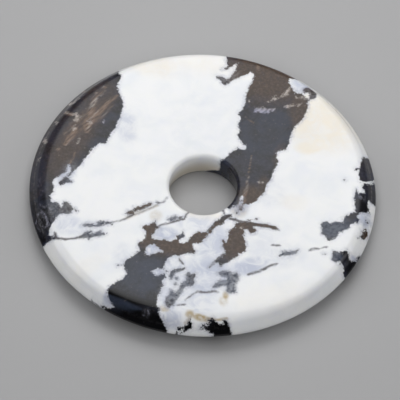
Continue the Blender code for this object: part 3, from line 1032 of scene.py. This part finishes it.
@dataclass(frozen=True)
class PolishedStone:
    """The finish of the disc: white and dark stone, ground and polished together."""

    white_stone: WhiteStone = WhiteStone()
    dark_stone: DarkStone = DarkStone()
    vein: Colour = (0.050, 0.042, 0.043)
    # painted highlight along the slope's outer edge
    edge_highlight: Colour = (0.11, 0.105, 0.108)

    coarse: Noise = Noise(1.3, 3.0, 0.6)
    middle: Noise = Noise(0.50, 4.0, 0.68)
    fine: Noise = Noise(0.17, 3.0, 0.65)

    # the edge between white and dark
    ragged: float = 0.72
    ragged_fine: float = 0.72
    crystal_reach: float = 0.7
    thin_spread: float = 0.12
    thin_softness: float = 0.15
    edge_softness: float = 0.06
    dark_edge: Ease = Ease(-1.0, 1.0)
    thin_wear: Ease = Ease(0.36, 0.62, 0.0, 0.5)

    # thin veins
    vein_swing: float = 0.34
    vein_ragged: float = 0.34
    vein_growth: float = 0.05
    vein_edge: Ease = Ease(-0.10, 0.12)
    vein_breaks: Ease = Ease(0.36, 0.52, 0.35, 0.85)
    blur_reach: Ease = Ease(-0.32, 0.0)
    blur_patches: Ease = Ease(0.3, 0.62, 0.04, 0.34)

    # a painted highlight: a pale line along the slope's outer edge, strongest away from the
    # viewer
    highlight_radius: float = 19.47
    highlight_swing: float = 0.12
    highlight_edge: Ease = Ease(0.12, 0.02)
    highlight_breaks: Ease = Ease(0.42, 0.62, 0.0, 0.8)
    highlight_side: Ease = Ease(-11.0 * MM, -5.0 * MM, 0.1, 1.0)

    # gloss, and light that soaks in
    roughness: float = 0.16
    smudge: Noise = Noise(3.5, 4.0, 0.6, 0.6)
    smudge_swing: float = 0.10
    fine_swing: float = 0.06
    refraction: float = 1.42
    scatter: float = 0.9
    scatter_radii: Triple = (1.0, 1.0, 1.1)
    scatter_reach: float = 2.0 * MM

    # polishing marks and pits
    wave: Noise = Noise(4.5)
    wave_height: float = 0.9
    fine_height: float = 0.05
    pit_spacing: float = 0.9
    pit_edge: Ease = Ease(0.10, 0.02, 0.0, -0.12)
    relief_strength: float = 0.35
    relief_depth: float = 0.02 * MM

    def build(self) -> bpy.types.Material:
        """Make the material, which reads the fields that the mesh carries.

        Returns:
            The material.
        """
        material = bpy.data.materials.new("polished_stone")
        s = Sheet(material)
        where = s.place("Object")
        ground = Ground(s, where, s.noise(where, self.coarse), s.noise(where, self.middle),
                        s.noise(where, self.fine))
        thin = s.layer(Layer.THIN)
        depth = s.total(
            s.layer(Layer.DARK), s.swing(ground.middle, self.ragged),
            s.swing(ground.fine, self.ragged_fine),
            s.times(s.layer(Layer.CRYSTAL), self.crystal_reach),
            s.times(thin, self.thin_spread))
        dark = self.dark_share(ground, depth, thin)
        pale = self.veined(ground, self.white_stone.colour(ground, depth))
        body = s.mix(dark, pale, self.dark_stone.colour(ground))
        rough = s.total(s.swing(s.noise(where, self.smudge), self.smudge_swing),
                        s.swing(ground.fine, self.fine_swing), self.roughness)
        s.finish(s.add("ShaderNodeBsdfPrincipled", {
            "Base Color": self.painted_edge_highlight(ground, body, dark), "Roughness": rough,
            "IOR": self.refraction, "Subsurface Weight": self.scatter,
            "Subsurface Radius": self.scatter_radii, "Subsurface Scale": self.scatter_reach,
            "Normal": self.relief(ground)}).outputs[0])
        return material

    def dark_share(self, ground: Ground, depth: Socket, thin: Socket) -> Socket:
        """Work out how far dark stone covers the white.

        Args:
            ground: The sheet, its coordinates and its noises.
            depth: How deep into dark stone.
            thin: Where the dark lies thin, with a soft edge and white showing through.

        Returns:
            The share of dark stone.
        """
        s = ground.sheet
        soft = s.total(s.times(thin, self.thin_softness), self.edge_softness)
        dark = s.ease(s.math("DIVIDE", depth, soft), self.dark_edge)
        wear = s.times(thin, s.ease(ground.middle, self.thin_wear))
        return s.times(dark, s.math("SUBTRACT", 1.0, wear))

    def veined(self, ground: Ground, colour: Socket) -> Socket:
        """Draw the thin veins, each as wide as its reach is past the side offset.

        Args:
            ground: The sheet, its coordinates and its noises.
            colour: The white stone's colour.

        Returns:
            The colour with the veins and the blur along them.
        """
        s = ground.sheet
        side = s.total(s.layer(Layer.VEIN_SIDE), s.swing(ground.middle, self.vein_swing))
        line = s.math("SUBTRACT", s.layer(Layer.VEIN_REACH), s.math("ABSOLUTE", side))
        line = s.total(line, s.swing(ground.fine, self.vein_ragged), self.vein_growth)
        blur = s.times(s.ease(line, self.blur_reach), s.ease(ground.middle, self.blur_patches))
        vein = s.times(s.ease(line, self.vein_edge), s.ease(ground.coarse, self.vein_breaks))
        return s.mix(vein, s.mix(blur, colour, self.white_stone.halo), self.vein)

    def painted_edge_highlight(self, ground: Ground, body: Socket, dark: Socket) -> Socket:
        """Paint a highlight on the dark stone, as a pale line along the slope's outer edge.

        Args:
            ground: The sheet, its coordinates and its noises.
            body: The stone's colour.
            dark: The share of dark stone.

        Returns:
            The colour with the painted highlight.
        """
        s = ground.sheet
        off = s.math("SUBTRACT", s.radius(ground.where), self.highlight_radius)
        gap = s.math("ABSOLUTE", s.total(off, s.swing(ground.middle, self.highlight_swing)))
        band = s.times(s.ease(gap, self.highlight_edge), s.ease(ground.middle, self.highlight_breaks))
        # the painted highlight is strongest on the side away from the viewer
        band = s.times(band, s.ease(s.component(ground.where, "Y"), self.highlight_side))
        return s.mix(s.times(band, dark), body, self.edge_highlight)

    def relief(self, ground: Ground) -> Socket:
        """Work out the polishing marks and small pits.

        Args:
            ground: The sheet, its coordinates and its noises.

        Returns:
            The surface's normal.
        """
        s = ground.sheet
        pits = s.add("ShaderNodeTexVoronoi", {
            "Vector": ground.where, "Scale": 1.0 / (self.pit_spacing * MM)}, feature="F1")
        height = s.total(s.times(s.noise(ground.where, self.wave), self.wave_height),
                         s.times(ground.fine, self.fine_height),
                         s.ease(pits.outputs["Distance"], self.pit_edge))
        return s.add("ShaderNodeBump", {
            "Strength": self.relief_strength, "Distance": self.relief_depth,
            "Height": height}).outputs["Normal"]


@dataclass(frozen=True)
class PaleFloor:
    """The matt finish of the studio floor."""

    colour: Colour = (0.42, 0.42, 0.425)
    darker_share: float = 0.985
    tooth: Noise = Noise(1.5, 3.0, 0.6)
    roughness: float = 0.85
    specular: float = 0.2

    def build(self) -> bpy.types.Material:
        """Make the floor's material.

        Returns:
            The material.
        """
        material = bpy.data.materials.new("pale_floor")
        s = Sheet(material)
        darker = tuple(self.darker_share * part for part in self.colour)
        tooth = s.noise(s.place("Object"), self.tooth)
        s.finish(s.add("ShaderNodeBsdfPrincipled", {
            "Base Color": s.mix(tooth, self.colour, darker), "Roughness": self.roughness,
            "Specular IOR Level": self.specular}).outputs[0])
        return material


# The stone

def cad_size(axis: int) -> float:
    """Return the solid's length along an axis, in millimetres."""
    return round((CAD_BOUNDS[1][axis] - CAD_BOUNDS[0][axis]) / MM, 3)


def read_places(data: bpy.types.Mesh) -> np.ndarray:
    """Read the places of a mesh's points.

    Args:
        data: The mesh.

    Returns:
        The places, n by 3, in metres.
    """
    places = np.empty(len(data.vertices) * 3)
    data.vertices.foreach_get("co", places)
    return places.reshape(-1, 3)


@dataclass(frozen=True)
class Corner:
    """A corner of the half section, with the length that its rounding takes each way."""

    radius: float
    height: float
    rounding: float
    steps: int


@dataclass(frozen=True)
class StoneDonut:
    """The carved disc: its sizes in millimetres, its mesh and its markings."""

    outer: float = cad_size(0) / 2
    thickness: float = cad_size(2)

    # the hole: a waist, a flare, and a mouth that lies off centre and is narrower across
    waist: float = 3.85
    waist_rounding: float = 0.5
    waist_steps: int = 3
    flare: float = 4.0
    flare_drop: float = 0.8
    flare_rounding: float = 0.38
    flare_steps: int = 6
    mouth: float = 4.15
    mouth_rounding: float = 0.42
    mouth_steps: int = 6
    mouth_offset: float = -0.28
    mouth_squeeze: float = 0.05
    mouth_near: float = 4.44        # the mouth's shift is whole up to this radius
    mouth_far: float = 6.0          # and has faded out at this one

    # the ground slope and the girdle
    rim_softness: float = 0.45
    rim_steps: int = 3
    slope_width: float = 1.75
    slope_drop: float = 1.05
    slope_crown: float = 0.2
    slope_steps: int = 10
    slope_end_rounding: float = 0.08
    slope_end_steps: int = 2
    girdle_depth: float = 0.55
    girdle_rounding: float = 0.38
    girdle_steps: int = 10
    spare: float = 0.02             # what is left of a side between two roundings

    # how fine the mesh is
    turn_steps: int = 600
    weld_distance: float = 0.001
    face_length: float = 5.0        # longer edges of the section are a flat face's
    upper_rings: int = 60
    lower_rings: int = 24
    wall_length: float = 0.5        # longer edges beside the hole are its wall's
    wall_margin: float = 0.2
    wall_rings: int = 4

    # how far the face's rim lies outside its true circle: degrees round and millimetres
    rim_shape: tuple[Pair, ...] = (
        (0.0, -0.3), (20.0, 0.1), (45.0, 0.4), (70.0, 0.55), (90.0, 0.4), (120.0, 0.1),
        (150.0, -0.15), (180.0, -0.27), (190.0, 0.0), (223.0, 0.1), (233.0, 0.5),
        (238.0, 0.65), (243.0, 0.4), (255.0, 0.0), (272.0, -0.45), (286.0, 0.0),
        (298.0, 0.45), (313.0, 0.8), (325.0, 0.5), (344.0, 0.05))
    rim_blur: float = 4.0           # degrees over which the rim's stations are blended
    rim_blur_reach: int = 24
    rim_start: float = 14.5         # the face is left as it is inside this radius

    # how far the markings drift sideways on their way to the lower face
    drift: Pair = (1.6, -1.1)

    @property
    def half(self) -> float:
        """Return the height of the girdle's widest line."""
        return self.thickness / 2

    @property
    def slope_end(self) -> float:
        """Return the radius where the slope meets the girdle."""
        return self.outer - self.girdle_depth

    @property
    def rim(self) -> float:
        """Return the radius where the flat face meets the slope."""
        return self.slope_end - self.slope_width

    def crown_corner(self) -> Corner:
        """Work out the corner whose rounding makes the crowned slope.

        Returns:
            The corner, between the face's rim and the slope's end.
        """
        chord = hypot(self.slope_width, self.slope_drop)
        lean = 2.0 * atan2(self.slope_crown, chord / 2)
        lift = chord / 2 * tan(lean)
        radius = (self.rim + self.slope_end) / 2 + self.slope_drop / chord * lift
        height = self.thickness - self.slope_drop / 2 + self.slope_width / chord * lift
        rounding = chord / 2 / cos(lean) - self.rim_softness - self.spare
        return Corner(radius, height, rounding, self.slope_steps)

    def girdle_corner(self) -> Corner:
        """Work out the corner whose rounding makes the girdle's outermost line.

        Returns:
            The corner, where the facets that leave both slopes' ends would meet.
        """
        centre = self.outer - self.girdle_rounding
        inwards, rise = self.slope_end - centre, self.half - self.slope_drop
        turn = atan2(rise, inwards) - acos(self.girdle_rounding / hypot(inwards, rise))
        return Corner(centre + self.girdle_rounding / cos(turn), self.half,
                      self.girdle_rounding * tan(turn), self.girdle_steps)

    def corners(self) -> list[Corner]:
        """Work out the half section's corners.

        Returns:
            The corners, from the hole's upper mouth out over the edge and back.
        """
        top, low = self.thickness, self.thickness - self.slope_drop
        upper = [Corner(self.mouth, top, self.mouth_rounding, self.mouth_steps),
                 Corner(self.rim, top, self.rim_softness, self.rim_steps),
                 self.crown_corner(),
                 Corner(self.slope_end, low, self.slope_end_rounding, self.slope_end_steps)]
        lower = [Corner(c.radius, top - c.height, c.rounding, max(2, c.steps // 2))
                 for c in reversed(upper)]
        wall = [Corner(self.flare, self.flare_drop, self.flare_rounding,
                       self.flare_steps // 2),
                Corner(self.waist, self.half, self.waist_rounding, self.waist_steps),
                Corner(self.flare, top - self.flare_drop, self.flare_rounding,
                       self.flare_steps)]
        return [*upper, self.girdle_corner(), *lower, *wall]

    def section(self) -> bmesh.types.BMesh:
        """Draw the half section with its corners rounded.

        Returns:
            A bmesh that holds the section as a closed ring of edges.
        """
        mesh = bmesh.new()
        corners = self.corners()
        points = [mesh.verts.new((c.radius * MM, 0.0, c.height * MM)) for c in corners]
        mesh.faces.new(points)
        for point, corner in zip(points, corners):
            bmesh.ops.bevel(mesh, geom=[point], offset=corner.rounding * MM,
                            offset_type="OFFSET", segments=corner.steps, profile=0.5,
                            affect="VERTICES", material=-1)
        bmesh.ops.delete(mesh, geom=list(mesh.faces), context="FACES_ONLY")
        for edge in [e for e in mesh.edges if e.calc_length() > self.face_length * MM]:
            upper = edge.verts[0].co.z > self.half * MM
            bmesh.ops.subdivide_edges(mesh, edges=[edge],
                                      cuts=self.upper_rings if upper else self.lower_rings)
        walls = [e for e in mesh.edges if e.calc_length() > self.wall_length * MM
                 and max(v.co.x for v in e.verts) < (self.mouth + self.wall_margin) * MM]
        bmesh.ops.subdivide_edges(mesh, edges=walls, cuts=self.wall_rings)
        return mesh

    def turned(self) -> bpy.types.Mesh:
        """Turn the half section about Z.

        Returns:
            The disc's mesh, shaded smooth.
        """
        mesh = self.section()
        bmesh.ops.spin(mesh, geom=list(mesh.verts) + list(mesh.edges), cent=(0, 0, 0),
                       axis=(0, 0, 1), angle=2 * pi, steps=self.turn_steps,
                       use_merge=True, use_duplicate=False)
        bmesh.ops.remove_doubles(mesh, verts=list(mesh.verts), dist=self.weld_distance * MM)
        bmesh.ops.recalc_face_normals(mesh, faces=list(mesh.faces))
        for face in mesh.faces:
            face.smooth = True
        data = bpy.data.meshes.new("polished_donut")
        mesh.to_mesh(data)
        mesh.free()
        return data

    def rim_shift(self, turn: np.ndarray) -> np.ndarray:
        """Read how far the face's rim lies outside its true circle.

        Args:
            turn: Directions round the axis, in degrees.

        Returns:
            The shift in each direction, in millimetres, blended between the stations.
        """
        stations = np.array(self.rim_shape)
        around = np.arange(FULL_TURN)
        shift = np.interp(around, *stations.T, period=FULL_TURN)
        steps = np.arange(-self.rim_blur_reach, self.rim_blur_reach + 1)
        bell = np.exp(-((steps / self.rim_blur) ** 2))
        blended = np.convolve(np.tile(shift, 3), bell / bell.sum(), "same")
        return np.interp(turn, around, blended[FULL_TURN:2 * FULL_TURN], period=FULL_TURN)

    def shape_by_hand(self, data: bpy.types.Mesh) -> None:
        """Move the face's rim in and out, and the hole's mouth off centre.

        Args:
            data: The true disc's mesh, which is changed.
        """
        places = read_places(data)
        radius = np.hypot(places[:, 0], places[:, 1]) / MM
        turn = np.degrees(np.arctan2(places[:, 1], places[:, 0])) % FULL_TURN
        rise = soft_step((radius - self.rim_start) / (self.rim - self.rim_start))
        fall = np.clip((self.slope_end - radius) / (self.slope_end - self.rim), 0.0, 1.0)
        shift = self.rim_shift(turn) * np.where(radius < self.rim, rise, fall)
        places[:, :2] *= ((radius + shift) / np.maximum(radius, TINY))[:, None]

        high = np.clip(places[:, 2] / (self.half * MM) - 1.0, 0.0, 1.0)
        near = np.clip((self.mouth_far - radius) / (self.mouth_far - self.mouth_near), 0.0, 1.0)
        places[:, 0] *= 1.0 - self.mouth_squeeze * high * near
        places[:, 1] += self.mouth_offset * MM * high * near
        data.vertices.foreach_set("co", places.ravel())

    def mark(self, data: bpy.types.Mesh) -> None:
        """Write the markings' fields to the mesh, drifting with depth in the stone.

        Args:
            data: The disc's mesh.
        """
        places = read_places(data) / MM
        below = soft_step((self.half - places[:, 2]) / self.half)[:, None]
        markings = Markings(places[:, :2] + below * np.array(self.drift))
        for layer, values in markings.fields().items():
            made = data.attributes.new(layer.value, "FLOAT", "POINT")
            made.data.foreach_set("value", values.astype(np.float32))

    def build(self) -> bpy.types.Object:
        """Build the finished disc, riding on its body in place of its plain node.

        Returns:
            The disc.
        """
        data = self.turned()
        self.shape_by_hand(data)
        self.mark(data)
        data.materials.append(PolishedStone().build())
        donut = bpy.data.objects.new("polished_donut", data)
        bpy.context.scene.collection.objects.link(donut)
        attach(donut, BODY)
        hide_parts(NODE)
        return donut


# Studio

def direction(azimuth: float, elevation: float) -> Vector:
    """Find a direction from the disc.

    Args:
        azimuth: Degrees round from x.
        elevation: Degrees above the floor.

    Returns:
        The direction, one unit long.
    """
    turn, rise = radians(azimuth), radians(elevation)
    return Vector((cos(rise) * cos(turn), cos(rise) * sin(turn), sin(rise)))


@dataclass(frozen=True)
class SoftBox:
    """A soft rectangular lamp that faces the disc, in degrees and metres."""

    name: str
    azimuth: float
    elevation: float
    distance: float
    width: float
    height: float
    radiance: float
    glossy: bool = True

    def build(self) -> bpy.types.Object:
        """Add the lamp, unseen by the camera.

        Returns:
            The lamp.
        """
        light = bpy.data.lights.new(self.name, "AREA")
        light.shape = "RECTANGLE"
        light.size, light.size_y = self.width, self.height
        light.energy = self.radiance * pi * self.width * self.height
        lamp = bpy.data.objects.new(self.name, light)
        bpy.context.scene.collection.objects.link(lamp)
        away = direction(self.azimuth, self.elevation)
        lamp.location = away * self.distance
        lamp.rotation_euler = away.to_track_quat("Z", "Y").to_euler()
        lamp.visible_camera = False
        lamp.visible_glossy = self.glossy
        return lamp


@dataclass(frozen=True)
class SoftSky:
    """The glow of the room: one large soft light that fades out all round."""

    azimuth: float = 90.0
    elevation: float = 54.0
    radiance: float = 2.2
    room: Colour = (0.52, 0.52, 0.525)

    # how level the direction is with the light, and how bright it then is
    fade: tuple[Pair, ...] = (
        (0.0, 0.015), (0.35, 0.03), (0.53, 0.045), (0.70, 0.055), (0.85, 0.08),
        (0.93, 0.36), (0.97, 0.88), (1.0, 1.0))

    def build(self) -> bpy.types.World:
        """Make the world, which the camera itself sees as a plain pale room.

        Returns:
            The world.
        """
        world = bpy.data.worlds.new("studio")
        s = Sheet(world)
        toward = s.add("ShaderNodeVectorMath", {
            0: s.place("Generated"), 1: tuple(direction(self.azimuth, self.elevation))},
            operation="DOT_PRODUCT")
        ramp = s.add("ShaderNodeValToRGB", {"Fac": toward.outputs["Value"]})
        ramp.color_ramp.interpolation = "B_SPLINE"
        stops = ramp.color_ramp.elements
        for place, _ in self.fade[len(stops):]:
            stops.new(place)
        for stop, (place, level) in zip(stops, self.fade):
            stop.position, stop.color = place, (level, level, level, 1.0)
        glow = s.add("ShaderNodeBackground", {
            "Color": ramp.outputs["Color"], "Strength": self.radiance})
        room = s.add("ShaderNodeBackground", {"Color": self.room})
        seen = s.add("ShaderNodeLightPath", {}).outputs["Is Camera Ray"]
        mix = s.add("ShaderNodeMixShader", {0: seen, 1: glow.outputs[0], 2: room.outputs[0]})
        s.finish(mix.outputs[0], "ShaderNodeOutputWorld")
        return world


@dataclass(frozen=True)
class Studio:
    """The pale floor, the lamps and the soft glow of the room."""

    floor_size: float = 6.0
    floor_parts: int = 4
    floor_drop: float = 0.01 * MM
    sky: SoftSky = SoftSky()

    # name, azimuth, elevation, distance, width, height and radiance
    lamps: tuple[SoftBox, ...] = (
        SoftBox("softbox_near", 90.0, 64.0, 0.10, 0.09, 0.07, 1.8, glossy=False),
        SoftBox("softbox_front", 270.0, 48.0, 0.9, 0.7, 0.5, 1.45, glossy=False),
        SoftBox("softbox_top", 270.0, 82.0, 0.9, 0.7, 0.5, 1.05, glossy=False),
        SoftBox("softbox_left", 186.0, 32.0, 0.8, 0.55, 0.35, 1.45),
        SoftBox("softbox_right", -6.0, 32.0, 0.8, 0.55, 0.35, 1.2))

    def floor(self) -> bpy.types.Object:
        """Lay the floor, just clear of the disc.

        Returns:
            The floor.
        """
        mesh = bmesh.new()
        bmesh.ops.create_grid(mesh, x_segments=self.floor_parts, y_segments=self.floor_parts,
                              size=self.floor_size / 2)
        bmesh.ops.translate(mesh, verts=list(mesh.verts), vec=(0.0, 0.0, -self.floor_drop))
        data = bpy.data.meshes.new("pale_floor")
        mesh.to_mesh(data)
        mesh.free()
        data.materials.append(PaleFloor().build())
        floor = bpy.data.objects.new("pale_floor", data)
        bpy.context.scene.collection.objects.link(floor)
        return floor

    def build(self) -> list[bpy.types.Object]:
        """Build the whole studio, with plain view colours.

        Returns:
            The floor and the lamps.
        """
        scene = bpy.context.scene
        scene.world = self.sky.build()
        scene.view_settings.view_transform = "Standard"
        scene.view_settings.look = "None"
        return [self.floor(), *(lamp.build() for lamp in self.lamps)]


@dataclass(frozen=True)
class ViewingCamera:
    """The camera, at the angle and distance that the picture was taken from."""

    elevation: float = 54.073
    distance: float = 0.450
    aim: Pair = (-0.267 * MM, 0.165 * MM)
    roll: float = 3.162
    lens: float = 349.82
    sensor: float = 36.0
    nearest: float = 0.01
    farthest: float = 20.0

    def build(self) -> bpy.types.Object:
        """Add the camera and make it the scene's own.

        Returns:
            The camera.
        """
        data = bpy.data.cameras.new("viewing_camera")
        data.lens, data.sensor_width = self.lens, self.sensor
        data.clip_start, data.clip_end = self.nearest, self.farthest
        camera = bpy.data.objects.new("viewing_camera", data)
        bpy.context.scene.collection.objects.link(camera)
        rise = radians(self.elevation)
        camera.location = (self.aim[0], self.aim[1] - self.distance * cos(rise),
                           self.distance * sin(rise))
        lean = Matrix.Rotation(pi / 2 - rise, 4, "X")
        camera.rotation_euler = (lean @ Matrix.Rotation(radians(self.roll), 4, "Z")).to_euler()
        bpy.context.scene.camera = camera
        return camera


def main() -> None:
    """Build the disc, the studio and the camera, and report each piece."""
    logging.basicConfig(level=logging.INFO, format="%(message)s")
    donut = StoneDonut().build()
    log.info("%s: %d faces", donut.name, len(donut.data.polygons))
    for thing in (*Studio().build(), ViewingCamera().build()):
        log.info("%s", thing.name)


if __name__ == "__main__":
    main()
